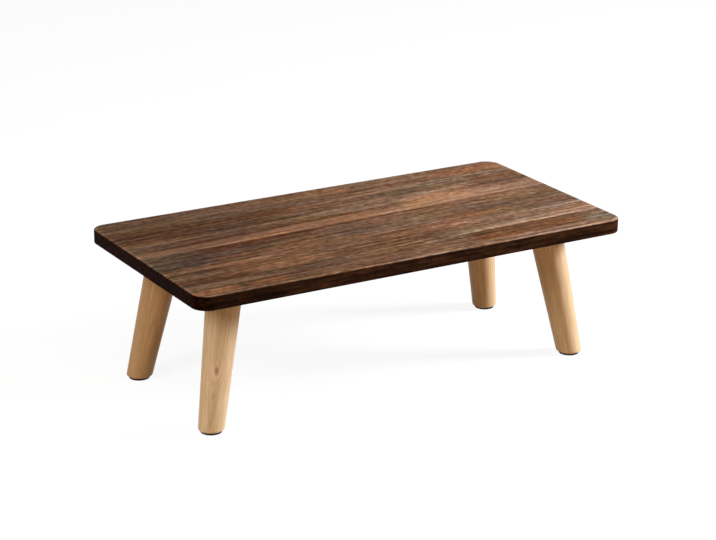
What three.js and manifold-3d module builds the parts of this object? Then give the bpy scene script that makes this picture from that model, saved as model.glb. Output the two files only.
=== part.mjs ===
// A low table for use on the floor: one board with rounded corners on four splayed, tapered round legs.
// A hanger bolt in the top of each leg screws into a pressed steel plate under the board. The middle of the
// plate is pressed down to a slanted seat, square to the leg, so seat, collar, bolt and leg share one axis.
// Millimetres, +Z up, X along the table, Y across it, origin on the floor under the middle of the board.
import * as THREE from "three";
import { mergeVertices } from "three/addons/utils/BufferGeometryUtils.js";
import Module from "manifold-3d";

const wasm = await Module();
wasm.setup();

// Whole table
const tableLength = 600;
const tableWidth = 300;
const tableHeight = 190;

// Board
const boardThickness = 17.5;
const boardCornerRadius = 20;
const boardArrisRadius = 1.5;

// Legs: insets run to where a leg's axis meets the board's underside, diameters are square to that axis
const legEndInset = 71;
const legSideInset = 73;
const legTopDiameter = 43;
const legFootDiameter = 32;
const legFootRounding = 3;
const legTopChamfer = 0.8;
const legTilt = THREE.MathUtils.degToRad(12.5); // how far it leans from upright
const legHeading = THREE.MathUtils.degToRad(34); // which way it leans, from the length of the table

// Foot pads
const padDiameter = 26;
const padThickness = 2.5;
const padChamfer = 0.5;

// Leg plates
const plateSide = 58;
const plateThickness = 2;
const plateCornerRadius = 8;
const plateScrewInset = 6.5; // from the plate's edges to the middle of a screw
const plateSeatDiameter = 28; // flat part of the slanted seat
const plateBendRadius = 3; // outside the bend between seat and wall
const plateDraft = THREE.MathUtils.degToRad(15); // how far the pressed wall opens out
const collarDiameter = 14;
const collarChamfer = 0.8;

// Hanger bolts: machine thread up into the collar, wood thread down into the leg
const boltDiameter = 8;
const boltTipChamfer = 1;
const boltProud = 1.2; // past the top of the collar
const boltWoodLength = 30;
const boltPointLength = 7;
const boltPointDiameter = 2;

// Plate screws
const screwDiameter = 4;
const screwLength = 14; // under the head
const screwPointLength = 4;
const screwPointDiameter = 0.8;
const screwHeadDiameter = 8;
const screwHeadHeight = 2.6;
const screwHeadRimHeight = 0.7;

// Clearances
const seatGap = 0.3; // between two pieces that sit on each other
const holeClearance = 0.3; // round a bolt or screw, on the radius
const holeEndClearance = 1.5; // past the tip of a bolt or screw in a blind hole
const legTopClearance = 0.6; // between the leg's highest point and the level of the screw heads
const boltTipClearance = 1; // between the bolt's highest point and the board
const cutOverrun = 1; // how far a cutter runs past the face that it opens

// Facets
const cornerFacets = 8;
const plateCornerFacets = 4;
const arrisFacets = 4;
const legFacets = 48;
const padFacets = 36;
const pressingFacets = 28;
const boltFacets = 20;
const screwFacets = 12;

// The board's underside above the floor, and two levels below it
const boardUnderside = tableHeight - boardThickness;
const plateUnderside = seatGap + plateThickness;
const screwSeat = plateUnderside + seatGap;

// Depths along a leg's axis from the board's underside. A round piece's highest point is on its rim
const rimRise = (diameter) => (diameter / 2) * Math.sin(legTilt);
const alongAxis = (drop) => drop / Math.cos(legTilt);
const legTopDepth = alongAxis(screwSeat + screwHeadHeight + legTopClearance + rimRise(legTopDiameter));
const legFootDepth = alongAxis(boardUnderside - padThickness - seatGap);
const boltTipDepth = alongAxis(boltTipClearance + rimRise(boltDiameter));
const boltPointDepth = legTopDepth + boltWoodLength;
const collarTopDepth = boltTipDepth + boltProud;
const plateSeatDepth = legTopDepth - seatGap;

// Each corner's leg station: x and y of the leg's axis at the board's underside, and its turn about Z
const corners = [
  { name: "front_left", end: -1, side: -1 },
  { name: "front_right", end: 1, side: -1 },
  { name: "back_left", end: -1, side: 1 },
  { name: "back_right", end: 1, side: 1 },
].map(({ name, end, side }) => ({
  name,
  x: end * (tableLength / 2 - legEndInset),
  y: side * (tableWidth / 2 - legSideInset),
  turn: Math.atan2(side * Math.sin(legHeading), end * Math.cos(legHeading)),
}));

// The four screws of a plate, in the station's frame
const screwPlaces = [
  [-1, -1],
  [1, -1],
  [1, 1],
  [-1, 1],
].map(([along, across]) => ({
  x: along * (plateSide / 2 - plateScrewInset),
  y: across * (plateSide / 2 - plateScrewInset),
}));

const stainedWood = { color: 0x5a4032, roughness: 0.5, metalness: 0 };
const paleWood = { color: 0xd9b487, roughness: 0.5, metalness: 0 };
const zincSteel = { color: 0xb4b6b8, roughness: 0.35, metalness: 1 };
const darkRubber = { color: 0x1c1a18, roughness: 0.8, metalness: 0 };

// A closed geometry as a solid to cut and join, with its shared vertices merged
function solidFrom(geometry) {
  const bare = geometry.clone();
  bare.deleteAttribute("normal");
  bare.deleteAttribute("uv");
  const merged = mergeVertices(bare);
  return new wasm.Manifold(
    new wasm.Mesh({
      numProp: 3,
      vertProperties: new Float32Array(merged.attributes.position.array),
      triVerts: new Uint32Array(merged.index.array),
    }),
  );
}

function geometryFrom(solid) {
  const mesh = solid.getMesh();
  const geometry = new THREE.BufferGeometry();
  geometry.setAttribute("position", new THREE.BufferAttribute(mesh.vertProperties, mesh.numProp));
  geometry.setIndex(new THREE.BufferAttribute(mesh.triVerts, 1));
  geometry.computeVertexNormals();
  return geometry;
}

function cut(solid, cutters) {
  return cutters.reduce((rest, cutter) => rest.subtract(solidFrom(cutter)), solid);
}

function roundedRectangle(length, width, radius) {
  const x = length / 2 - radius;
  const y = width / 2 - radius;
  const quarter = Math.PI / 2;
  const outline = new THREE.Shape();
  outline.absarc(x, y, radius, 0, quarter, false);
  outline.absarc(-x, y, radius, quarter, 2 * quarter, false);
  outline.absarc(-x, -y, radius, 2 * quarter, 3 * quarter, false);
  outline.absarc(x, -y, radius, 3 * quarter, 4 * quarter, false);
  outline.closePath();
  return outline;
}

// A profile of [radius, height] turned round the Z axis
function turned(profile, facets) {
  return new THREE.LatheGeometry(profile.getPoints(arrisFacets / 2), facets).rotateX(Math.PI / 2);
}

// A round cutter about the Z axis, from one height up to another
function drill(diameter, from, to, facets) {
  const radius = diameter / 2 + holeClearance;
  const geometry = new THREE.CylinderGeometry(radius, radius, to - from, facets);
  return geometry.rotateX(Math.PI / 2).translate(0, 0, (from + to) / 2);
}

// Board with its underside at z = 0, its arrises rounded over, and a blind pilot hole for every plate screw
function board() {
  const outline = roundedRectangle(tableLength, tableWidth, boardCornerRadius);
  const slab = new THREE.ExtrudeGeometry(outline, {
    depth: boardThickness - 2 * boardArrisRadius,
    curveSegments: cornerFacets / 2,
    bevelThickness: boardArrisRadius,
    bevelSize: boardArrisRadius,
    bevelOffset: -boardArrisRadius,
    bevelSegments: arrisFacets,
  });
  slab.translate(0, 0, boardArrisRadius);

  const pilotTop = screwLength - screwSeat + holeEndClearance;
  const pilot = drill(screwDiameter, -cutOverrun, pilotTop, screwFacets);
  const pilots = corners.flatMap((corner) =>
    screwPlaces.map((place) =>
      pilot
        .clone()
        .translate(place.x, place.y, 0)
        .rotateZ(corner.turn)
        .translate(corner.x, corner.y, 0),
    ),
  );
  return geometryFrom(cut(solidFrom(slab), pilots));
}

// Leg about its own axis, which meets the board's underside at z = 0. It is turned to a straight taper with a
// square top and a blind bore for the bolt. Its foot end is then sheared level, because the leg leans
// towards +X as it goes down
function leg() {
  const topRadius = legTopDiameter / 2;
  const boreRadius = boltDiameter / 2 + holeClearance;
  const boreEnd = boltPointDepth + holeEndClearance;
  const roundingRadius = legFootDiameter / 2 - legFootRounding;
  const roundingHeight = legFootRounding - legFootDepth;
  const profile = new THREE.Path();
  profile.moveTo(0, -legFootDepth);
  profile.lineTo(roundingRadius, -legFootDepth);
  profile.absarc(roundingRadius, roundingHeight, legFootRounding, -Math.PI / 2, 0, false);
  profile.lineTo(topRadius, -legTopDepth - legTopChamfer);
  profile.lineTo(topRadius - legTopChamfer, -legTopDepth);
  profile.lineTo(boreRadius, -legTopDepth);
  profile.lineTo(boreRadius, -boreEnd);
  profile.lineTo(0, -boreEnd);
  const wood = turned(profile, legFacets);

  const points = wood.attributes.position;
  for (let index = 0; index < points.count; index += 1) {
    const height = points.getZ(index);
    if (height < -(boreEnd + legFootDepth) / 2) {
      points.setZ(index, height - points.getX(index) * Math.tan(legTilt));
    }
  }
  return wood;
}

// Hanger bolt about the leg's axis, from its wood-thread point up to its tip inside the plate
function hangerBolt() {
  const radius = boltDiameter / 2;
  const profile = new THREE.Path();
  profile.moveTo(0, -boltPointDepth);
  profile.lineTo(boltPointDiameter / 2, -boltPointDepth);
  profile.lineTo(radius, boltPointLength - boltPointDepth);
  profile.lineTo(radius, -boltTipDepth - boltTipChamfer);
  profile.lineTo(radius - boltTipChamfer, -boltTipDepth);
  profile.lineTo(0, -boltTipDepth);
  return turned(profile, boltFacets);
}

// The pressed middle of the plate as a solid about the leg's axis, with its surface a given depth inside the
// steel: the flat seat, the bend, and the wall that opens out as it rises past the board's underside
function pressing(depth) {
  const bend = plateBendRadius - depth;
  const bendMiddle = plateBendRadius - plateSeatDepth;
  const seatRadius = plateSeatDiameter / 2;
  const wallFoot = bendMiddle - bend * Math.sin(plateDraft);
  const wallTop = (plateSide / 2) * Math.tan(legTilt);
  const wallRadius = seatRadius + bend * Math.cos(plateDraft);
  const profile = new THREE.Path();
  profile.moveTo(0, bendMiddle - bend);
  profile.lineTo(seatRadius, bendMiddle - bend);
  profile.absarc(seatRadius, bendMiddle, bend, -Math.PI / 2, -plateDraft, false);
  profile.lineTo(wallRadius + (wallTop - wallFoot) * Math.tan(plateDraft), wallTop);
  profile.lineTo(0, wallTop);
  return turned(profile, pressingFacets).rotateY(-legTilt);
}

// Collar about the leg's axis, rooted in the steel of the seat
function collar() {
  const radius = collarDiameter / 2;
  const root = plateThickness / 2 - plateSeatDepth;
  const profile = new THREE.Path();
  profile.moveTo(0, root);
  profile.lineTo(radius + collarChamfer, root);
  profile.lineTo(radius + collarChamfer, plateThickness - plateSeatDepth);
  profile.lineTo(radius, plateThickness - plateSeatDepth + collarChamfer);
  profile.lineTo(radius, -collarTopDepth - collarChamfer);
  profile.lineTo(radius - collarChamfer, -collarTopDepth);
  profile.lineTo(0, -collarTopDepth);
  return turned(profile, pressingFacets).rotateY(-legTilt);
}

// Leg plate with the board's underside at z = 0: a flat flange, its middle pressed down to the slanted seat
// in one thickness of steel, the threaded collar standing up inside the pressing, and the screw holes
function legPlate() {
  const outline = roundedRectangle(plateSide, plateSide, plateCornerRadius);
  const flange = new THREE.ExtrudeGeometry(outline, {
    depth: plateThickness,
    curveSegments: plateCornerFacets / 2,
    bevelEnabled: false,
  });
  flange.translate(0, 0, -plateUnderside);
  const above = new THREE.BoxGeometry(2 * plateSide, 2 * plateSide, plateSide);
  above.translate(0, 0, plateSide / 2 - seatGap);

  const screwHole = drill(screwDiameter, -plateUnderside - cutOverrun, cutOverrun, screwFacets);
  const screwHoles = screwPlaces.map((place) => screwHole.clone().translate(place.x, place.y, 0));
  const thread = drill(boltDiameter, -plateSeatDepth - cutOverrun, cutOverrun - collarTopDepth, boltFacets);

  const blank = solidFrom(flange).add(cut(solidFrom(pressing(0)), [above]));
  const shell = cut(blank, [pressing(plateThickness), ...screwHoles]);
  return geometryFrom(cut(shell.add(solidFrom(collar())), [thread.rotateY(-legTilt)]));
}

// Pan-head screw pointing up, with the seat of its domed head at z = 0
function plateScrew() {
  const radius = screwDiameter / 2;
  const headRadius = screwHeadDiameter / 2;
  const domeHeight = screwHeadHeight - screwHeadRimHeight;
  const profile = new THREE.Path();
  profile.absellipse(0, -screwHeadRimHeight, headRadius, domeHeight, -Math.PI / 2, 0, false);
  profile.lineTo(headRadius, 0);
  profile.lineTo(radius, 0);
  profile.lineTo(radius, screwLength - screwPointLength);
  profile.lineTo(screwPointDiameter / 2, screwLength);
  profile.lineTo(0, screwLength);
  return turned(profile, screwFacets);
}

// Foot pad standing on z = 0
function footPad() {
  const radius = padDiameter / 2;
  const profile = new THREE.Path();
  profile.moveTo(0, 0);
  profile.lineTo(radius - padChamfer, 0);
  profile.lineTo(radius, padChamfer);
  profile.lineTo(radius, padThickness);
  profile.lineTo(0, padThickness);
  return turned(profile, padFacets);
}

function piece(name, geometry, finish, x = 0, y = 0, z = 0) {
  const mesh = new THREE.Mesh(geometry, new THREE.MeshStandardMaterial(finish));
  mesh.name = name;
  mesh.position.set(x, y, z);
  return mesh;
}

// All that belongs to one leg, in a station turned so that the leg leans towards the station's +X
function legStation({ name, x, y, turn }) {
  const station = new THREE.Group();
  station.position.set(x, y, boardUnderside);
  station.rotation.z = turn;

  const leaning = new THREE.Group();
  leaning.rotation.y = -legTilt;
  leaning.add(
    piece(`leg_${name}`, leg(), paleWood),
    piece(`hanger_bolt_${name}`, hangerBolt(), zincSteel),
  );

  const footRun = legFootDepth * Math.sin(legTilt);
  station.add(
    leaning,
    piece(`foot_pad_${name}`, footPad(), darkRubber, footRun, 0, -boardUnderside),
    piece(`leg_plate_${name}`, legPlate(), zincSteel),
  );
  screwPlaces.forEach((place, index) => {
    const screwName = `plate_screw_${name}_${index + 1}`;
    station.add(piece(screwName, plateScrew(), zincSteel, place.x, place.y, -screwSeat));
  });
  return station;
}

const table = new THREE.Group();
table.add(piece("tabletop", board(), stainedWood, 0, 0, boardUnderside), ...corners.map(legStation));

export default table;
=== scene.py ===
# A low wooden table on four splayed legs: every surface and finish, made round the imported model
import math
import bpy
import numpy as np
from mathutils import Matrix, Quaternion, Vector


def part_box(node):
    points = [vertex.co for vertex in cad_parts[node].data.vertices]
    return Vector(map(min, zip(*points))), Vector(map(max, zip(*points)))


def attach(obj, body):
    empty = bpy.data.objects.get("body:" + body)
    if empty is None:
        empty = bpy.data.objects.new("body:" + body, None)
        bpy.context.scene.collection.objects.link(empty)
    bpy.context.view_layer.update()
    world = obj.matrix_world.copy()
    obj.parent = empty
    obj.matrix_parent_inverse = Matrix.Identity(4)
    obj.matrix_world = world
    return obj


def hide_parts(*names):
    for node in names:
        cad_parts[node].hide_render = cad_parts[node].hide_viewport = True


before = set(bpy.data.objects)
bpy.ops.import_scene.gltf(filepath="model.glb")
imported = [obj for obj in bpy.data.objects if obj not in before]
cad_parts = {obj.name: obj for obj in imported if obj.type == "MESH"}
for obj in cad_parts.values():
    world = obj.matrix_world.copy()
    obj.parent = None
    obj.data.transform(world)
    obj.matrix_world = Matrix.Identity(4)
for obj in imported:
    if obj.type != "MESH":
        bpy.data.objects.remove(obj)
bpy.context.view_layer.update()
print("frame loaded,", len(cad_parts), "nodes")

# Metres, with mm where a size reads better in millimetres. The board's faces come from the frame
mm = 0.001
boardLow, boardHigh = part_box("tabletop")
boardLength = boardHigh.x - boardLow.x
boardWidth = boardHigh.y - boardLow.y

# Where the legs stand: each axis meets the board's underside at these insets and leans outwards
stance = {
    "endInset": 71 * mm,
    "sideInset": 73 * mm,
    "tilt": math.radians(12.5),
    "heading": math.radians(34),
    "seatGap": 0.3 * mm,
}
cornerSides = {
    "front_left": (-1, -1),
    "front_right": (1, -1),
    "back_left": (-1, 1),
    "back_right": (1, 1),
}


def placeObject(name, data):
    thing = bpy.data.objects.new(name, data)
    bpy.context.scene.collection.objects.link(thing)
    return thing


# A grid of points, rows by columns, as a closed skin. Columns run counter-clockwise and always close.
# Rows close too where ring is true, and otherwise the first and the last row are each filled by a fan
# round their middle. pointData holds vectors on the same grid, by the name of their attribute
def skin(name, rows, ring=False, pointData=None):
    count, columns = rows.shape[:2]
    i, j = np.meshgrid(np.arange(count if ring else count - 1), np.arange(columns), indexing="ij")
    nextRow, nextColumn = (i + 1) % count, (j + 1) % columns
    corners = [
        i * columns + j,
        i * columns + nextColumn,
        nextRow * columns + nextColumn,
        nextRow * columns + j,
    ]
    faces = np.stack(corners, axis=-1).reshape(-1, 4).tolist()
    points = rows.reshape(-1, 3)
    if not ring:
        points = np.vstack([points, rows[0].mean(axis=0), rows[-1].mean(axis=0)])
        j = np.arange(columns)
        after = (j + 1) % columns
        last = (count - 1) * columns
        firstMiddle = np.full(columns, count * columns)
        faces += np.stack([firstMiddle, after, j], axis=-1).tolist()
        faces += np.stack([last + j, last + after, firstMiddle + 1], axis=-1).tolist()
    mesh = bpy.data.meshes.new(name)
    mesh.from_pydata(points.tolist(), [], faces)
    for label, values in (pointData or {}).items():
        flat = np.vstack([values.reshape(-1, 3), values[0].mean(axis=0), values[-1].mean(axis=0)])
        mesh.attributes.new(label, "FLOAT_VECTOR", "POINT").data.foreach_set("vector", flat.ravel())
    mesh.polygons.foreach_set("use_smooth", np.ones(len(faces), bool))
    mesh.update()
    return placeObject(name, mesh)


# Even directions round a circle, the first along X
def circle(columns):
    return np.linspace(0, 2 * math.pi, columns, endpoint=False)


# Points at a radius and a height in each direction round Z
def around(angle, radius, height):
    x, y = radius * np.cos(angle), radius * np.sin(angle)
    return np.stack([x, y, np.broadcast_to(height, x.shape)], axis=-1)


# A profile of (radius, height) points turned about Z
def turned(profile, columns):
    radius, height = np.asarray(profile).T
    return around(circle(columns), radius[:, None], height[:, None])


# Points on a circular arc of a profile, from one angle to another in degrees
def arc(middle, radius, fromAngle, toAngle, steps):
    angle = np.radians(np.linspace(fromAngle, toAngle, steps + 1))
    return np.stack([middle[0] + radius * np.cos(angle), middle[1] + radius * np.sin(angle)], axis=-1)


# Even points of a profile on the straight line between two points
def line(start, end, steps):
    share = np.linspace(0, 1, steps + 1)[:, None]
    return np.asarray(start) * (1 - share) + np.asarray(end) * share


# Zero up to low, one from high on, and an S-shaped rise between them
def smooth(low, high, value):
    share = np.clip((value - low) / (high - low), 0, 1)
    return share * share * (3 - 2 * share)


# From a leg's own frame, its axis along Z and zero at the board's underside, to its station's level frame
def lean(points):
    cosine, sine = math.cos(stance["tilt"]), math.sin(stance["tilt"])
    x, y, z = np.moveaxis(points, -1, 0)
    return np.stack([x * cosine - z * sine, y, x * sine + z * cosine], axis=-1)


# From a station's level frame, which leans towards its own X, to the table
def toTable(points, corner):
    end, side = cornerSides[corner]
    turn = math.atan2(side * math.sin(stance["heading"]), end * math.cos(stance["heading"]))
    cosine, sine = math.cos(turn), math.sin(turn)
    middleX = end * (boardLength / 2 - stance["endInset"])
    middleY = side * (boardWidth / 2 - stance["sideInset"])
    x, y, z = np.moveaxis(points, -1, 0)
    placed = [middleX + x * cosine - y * sine, middleY + x * sine + y * cosine, boardLow.z + z]
    return np.stack(placed, axis=-1)


# A finished piece rides on the table's one body and stands for its CAD node
def finish(piece, material, node):
    piece.data.materials.append(material)
    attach(piece, "root")
    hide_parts(node)


# Shader helpers: a value that is a socket is linked, and any other is set on the input
def connect(tree, node, inputs):
    for key, value in inputs.items():
        if isinstance(value, bpy.types.NodeSocket):
            tree.links.new(value, node.inputs[key])
        else:
            node.inputs[key].default_value = value
    return node


def addNode(tree, kind, inputs, **settings):
    node = tree.nodes.new(kind)
    for name, value in settings.items():
        setattr(node, name, value)
    return connect(tree, node, inputs)


def maths(tree, operation, *values):
    return addNode(tree, "ShaderNodeMath", dict(enumerate(values)), operation=operation).outputs[0]


def vectorMaths(tree, operation, *values):
    return addNode(tree, "ShaderNodeVectorMath", dict(enumerate(values)), operation=operation).outputs[0]


def vectorLength(tree, vector):
    return addNode(tree, "ShaderNodeVectorMath", {0: vector}, operation="LENGTH").outputs["Value"]


def combine(tree, x, y, z):
    return addNode(tree, "ShaderNodeCombineXYZ", {0: x, 1: y, 2: z}).outputs[0]


def separate(tree, vector):
    return addNode(tree, "ShaderNodeSeparateXYZ", {0: vector}).outputs


def objectPlace(tree):
    return addNode(tree, "ShaderNodeTexCoord", {}).outputs["Object"]


def attribute(tree, name):
    return addNode(tree, "ShaderNodeAttribute", {}, attribute_name=name).outputs["Vector"]


def readNoise(tree, place, detail, scale=1.0, roughness=0.5):
    inputs = {"Vector": place, "Scale": scale, "Detail": detail, "Roughness": roughness}
    return addNode(tree, "ShaderNodeTexNoise", inputs).outputs


# A smooth step of a value from one range to another
def eased(tree, value, fromLow, fromHigh, toLow=0.0, toHigh=1.0):
    inputs = {"Value": value, "From Min": fromLow, "From Max": fromHigh, "To Min": toLow, "To Max": toHigh}
    return addNode(tree, "ShaderNodeMapRange", inputs, interpolation_type="SMOOTHSTEP").outputs[0]


def mixed(tree, amount, under, over, blend="MIX"):
    inputs = {0: amount, 6: under, 7: over}
    return addNode(tree, "ShaderNodeMix", inputs, data_type="RGBA", blend_type=blend).outputs[2]


# The linear colour of a colour as a screen gives it, 0 to 255
def tone(red, green, blue):
    share = np.array([red, green, blue]) / 255
    linear = np.where(share <= 0.04045, share / 12.92, ((share + 0.055) / 1.055) ** 2.4)
    return (*linear.tolist(), 1.0)


def ramp(tree, value, stops):
    node = addNode(tree, "ShaderNodeValToRGB", {0: value})
    elements = node.color_ramp.elements
    while len(elements) < len(stops):
        elements.new(0.5)
    for element, (spot, colour) in zip(elements, stops):
        element.position = spot
        element.color = tone(*colour)
    return node.outputs[0]


def newGroup(name, inputs, outputs):
    group = bpy.data.node_groups.new(name, "ShaderNodeTree")
    for direction, labels in (("INPUT", inputs), ("OUTPUT", outputs)):
        for label in labels:
            kind = "NodeSocketVector" if label == "Vector" else "NodeSocketFloat"
            group.interface.new_socket(name=label, in_out=direction, socket_type=kind)
    return group, group.nodes.new("NodeGroupInput").outputs, group.nodes.new("NodeGroupOutput").inputs


def useGroup(tree, group, **inputs):
    node = addNode(tree, "ShaderNodeGroup", {}, node_tree=group)
    return connect(tree, node, inputs).outputs


def emptyTree(owner):
    owner.use_nodes = True
    owner.node_tree.nodes.clear()
    return owner.node_tree


def newMaterial(name):
    material = bpy.data.materials.new(name)
    tree = emptyTree(material)
    shader = addNode(tree, "ShaderNodeBsdfPrincipled", {})
    addNode(tree, "ShaderNodeOutputMaterial", {"Surface": shader.outputs[0]})
    return material, tree, shader


# The shader's changing inputs. The relief's strength and depth are the same all over
def dress(tree, shader, colour, roughness, relief, strength, depth):
    bump = addNode(tree, "ShaderNodeBump", {"Height": relief, "Strength": strength, "Distance": depth})
    connect(tree, shader, {"Base Color": colour, "Roughness": roughness, "Normal": bump.outputs[0]})


# Effects that more than one material uses. In all of them the grain runs along X
# Grain that wanders: a soft noise, long along the grain, moves each point sideways by up to Reach
def makeWander():
    group, given, result = newGroup("grainWander", ["Vector", "Reach", "Span"], ["Vector"])
    across = maths(group, "DIVIDE", given["Span"], 5.0)
    cell = combine(group, given["Span"], across, across)
    spot = vectorMaths(group, "DIVIDE", given["Vector"], cell)
    noise = readNoise(group, spot, 1.5)
    centred = vectorMaths(group, "SUBTRACT", noise["Color"], (0.5, 0.5, 0.5))
    reach = maths(group, "MULTIPLY", given["Reach"], 4.0)  # the noise keeps within a quarter of its middle
    sideways = combine(group, 0.0, reach, reach)
    moved = vectorMaths(group, "MULTIPLY_ADD", centred, sideways, given["Vector"])
    group.links.new(moved, result["Vector"])
    return group


# Fibres: noise read in cells that are Length long and Width across
def makeFibres():
    labels = ["Vector", "Length", "Width", "Detail", "Seed"]
    group, given, result = newGroup("grainFibres", labels, ["Value"])
    cell = combine(group, given["Length"], given["Width"], given["Width"])
    spot = vectorMaths(group, "DIVIDE", given["Vector"], cell)
    seed = combine(group, given["Seed"], given["Seed"], given["Seed"])
    shifted = vectorMaths(group, "ADD", spot, seed)
    noise = readNoise(group, shifted, given["Detail"], roughness=0.55)
    group.links.new(noise["Fac"], result["Value"])
    return group


# Growth rings: the distance from a pith line along X, cut into rings. Line is each ring's thin dark end
def makeRings():
    labels = ["Vector", "PithY", "PithZ", "Spacing", "Thinness"]
    group, given, result = newGroup("growthRings", labels, ["Line"])
    split = separate(group, given["Vector"])
    y = maths(group, "SUBTRACT", split[1], given["PithY"])
    z = maths(group, "SUBTRACT", split[2], given["PithZ"])
    square = maths(group, "MULTIPLY_ADD", y, y, maths(group, "MULTIPLY", z, z))
    turns = maths(group, "DIVIDE", maths(group, "SQRT", square), given["Spacing"])
    share = maths(group, "FRACT", turns)
    rise = maths(group, "POWER", share, given["Thinness"])
    fall = eased(group, share, 1.0, 0.9)
    group.links.new(maths(group, "MULTIPLY", rise, fall), result["Line"])
    return group


# A band of other wood, from Front to Back across the grain where X is zero, and as far along as FromX
# to ToX. Each step takes up the one before, so that the renderer keeps few values at a time for a board
# of many bands
def makeBand():
    labels = ["X", "Y", "Amount", "FromX", "ToX", "Fade", "Slope", "Front", "Back", "FrontSoft", "BackSoft"]
    group, given, result = newGroup("grainBand", labels, ["Mask"])

    def step(value, edge, soft, inward, amount):
        outer = maths(group, "SUBTRACT", edge, maths(group, "MULTIPLY", soft, inward))
        inner = maths(group, "ADD", edge, maths(group, "MULTIPLY", soft, inward))
        return eased(group, value, outer, inner, 0.0, amount)

    middle = maths(group, "MULTIPLY", maths(group, "ADD", given["FromX"], given["ToX"]), 0.5)
    half = maths(group, "SUBTRACT", given["ToX"], middle)
    away = maths(group, "ABSOLUTE", maths(group, "SUBTRACT", given["X"], middle))
    ends = step(away, half, given["Fade"], -1.0, given["Amount"])
    rise = maths(group, "MULTIPLY", given["X"], given["Slope"])
    level = maths(group, "SUBTRACT", given["Y"], rise)
    front = step(level, given["Front"], given["FrontSoft"], 1.0, ends)
    group.links.new(step(level, given["Back"], given["BackSoft"], -1.0, front), result["Mask"])
    return group


# Pores: short dark dashes along the grain, on about Share of the surface. The noise seldom passes 0.78
def makePores():
    group, given, result = newGroup("grainPores", ["Vector", "Length", "Width", "Share"], ["Mask"])
    cell = combine(group, given["Length"], given["Width"], given["Width"])
    spot = vectorMaths(group, "DIVIDE", given["Vector"], cell)
    noise = readNoise(group, spot, 0.0)["Fac"]
    start = maths(group, "SUBTRACT", 0.78, given["Share"])
    end = maths(group, "ADD", start, 0.08)
    group.links.new(eased(group, noise, start, end), result["Mask"])
    return group


# Speckle: an even noise of one size, for sheen and for the finest unevenness
def makeSpeckle():
    group, given, result = newGroup("speckle", ["Vector", "Size", "Detail"], ["Value"])
    scale = maths(group, "DIVIDE", 1.0, given["Size"])
    noise = readNoise(group, given["Vector"], given["Detail"], scale=scale)
    group.links.new(noise["Fac"], result["Value"])
    return group


wanderGroup, fibreGroup, ringGroup = makeWander(), makeFibres(), makeRings()
bandGroup, poreGroup, speckleGroup = makeBand(), makePores(), makeSpeckle()


# One scale of fibre, its length and width in mm
def fibres(tree, place, length, width, detail, seed):
    sizes = {"Length": length * mm, "Width": width * mm, "Detail": detail, "Seed": seed}
    return useGroup(tree, fibreGroup, Vector=place, **sizes)[0]


def speckle(tree, place, size, detail):
    return useGroup(tree, speckleGroup, Vector=place, Size=size * mm, Detail=detail)[0]


# Stained wood of the board, which has a darker stain on its sides. Lengths with no unit are in mm, and
# places are in the table's frame
boardFinish = {
    "slope": math.radians(1.9),  # the grain runs a little askew, towards the back at the right
    "wanderReach": 1.4,
    "wanderSpan": 150,
    # length, width, detail, seed and weight of each scale of streak
    "levels": {
        "field": (420, 42, 2.0, 3.1, 0.2),
        "streak": (330, 9.0, 2.5, 7.7, 0.25),
        "thread": (300, 3.4, 1.5, 1.3, 0.36),
        "ripple": (60, 3.8, 2.0, 8.4, 0.42),
        "mottle": (10, 5.5, 3.0, 4.6, 0.55),
        "fibre": (42, 0.7, 1.0, 5.9, 0.35),
    },
    # length, width, detail and seed of the long fields and the finer streaks of another hue
    "hues": {
        "redness": (260, 28, 1.0, 11.3),
        "greyness": (300, 40, 1.0, 17.9),
        "warmth": (60, 10, 1.0, 23.1),
        "ochre": (100, 30, 1.0, 29.7),
    },
    "sideStreak": (90, 4.5, 2.0, 41.3),
    "rings": {"PithY": -900 * mm, "PithZ": -500 * mm, "Spacing": 7.8 * mm, "Thinness": 7.0},
    "pores": {"Length": 11 * mm, "Width": 0.5 * mm, "Share": 0.09},
    "stops": [
        (0.20, (54, 33, 21)),
        (0.36, (84, 57, 39)),
        (0.50, (116, 83, 60)),
        (0.64, (145, 109, 84)),
        (0.80, (180, 142, 113)),
    ],
    # painted light and sheen: darkest at the left end and lightest and bluest from a little right of the
    # middle, painted for the light falling off across the top and a sheen at the right
    "paintedLightRun": (-290, 200),
    "paintedLightTints": ((0.59, 0.63, 0.632, 1), (1.21, 1.38, 1.49, 1)),
    "redTint": (1.15, 0.96, 0.84, 1),
    "greyTint": (0.91, 1.01, 1.11, 1),
    "warmTint": (1.05, 1.0, 0.95, 1),
    "coolTint": (0.96, 1.01, 1.04, 1),
    "ochreTint": (1.01, 1.02, 0.92, 1),
    "mauveTint": (0.99, 0.99, 1.07, 1),
    "sideColour": (41, 23, 12),
    "endColour": (36, 12, 4),
    "underTint": (0.7, 0.66, 0.62, 1),
    # painted highlight along the upper arrises
    "paintedHighlightTint": (2.7, 2.8, 3.0, 1),
    "lineTint": (0.55, 0.5, 0.48, 1),
    "poreTint": (0.5, 0.45, 0.43, 1),
    "roughness": (0.66, 0.5),
    "relief": (0.6, 0.3 * mm),  # strength and depth
    "gloss": 0.01,
}
tints = {
    "amber": (2.0, 1.86, 1.72, 1),
    "orange": (1.98, 1.77, 1.64, 1),
    "rust": (2.85, 2.35, 2.1, 1),
    "ember": (1.95, 1.4, 0.95, 1),
    "tan": (1.7, 1.62, 1.48, 1),
    "fawn": (1.45, 1.36, 1.27, 1),
    "light": (2.1, 2.1, 2.15, 1),
    "beige": (1.6, 1.72, 1.88, 1),
    "ash": (1.35, 1.55, 1.8, 1),
    "brown": (0.58, 0.54, 0.5, 1),
    "umber": (0.66, 0.46, 0.32, 1),
    "dark": (0.38, 0.35, 0.35, 1),
    "maroon": (0.62, 0.4, 0.36, 1),
    "plum": (0.85, 0.76, 0.92, 1),
    "grey": (0.9, 1.05, 1.2, 1),
    "slate": (0.58, 0.68, 0.78, 1),
    "russet": (0.96, 0.9, 0.86, 1),
}
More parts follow.
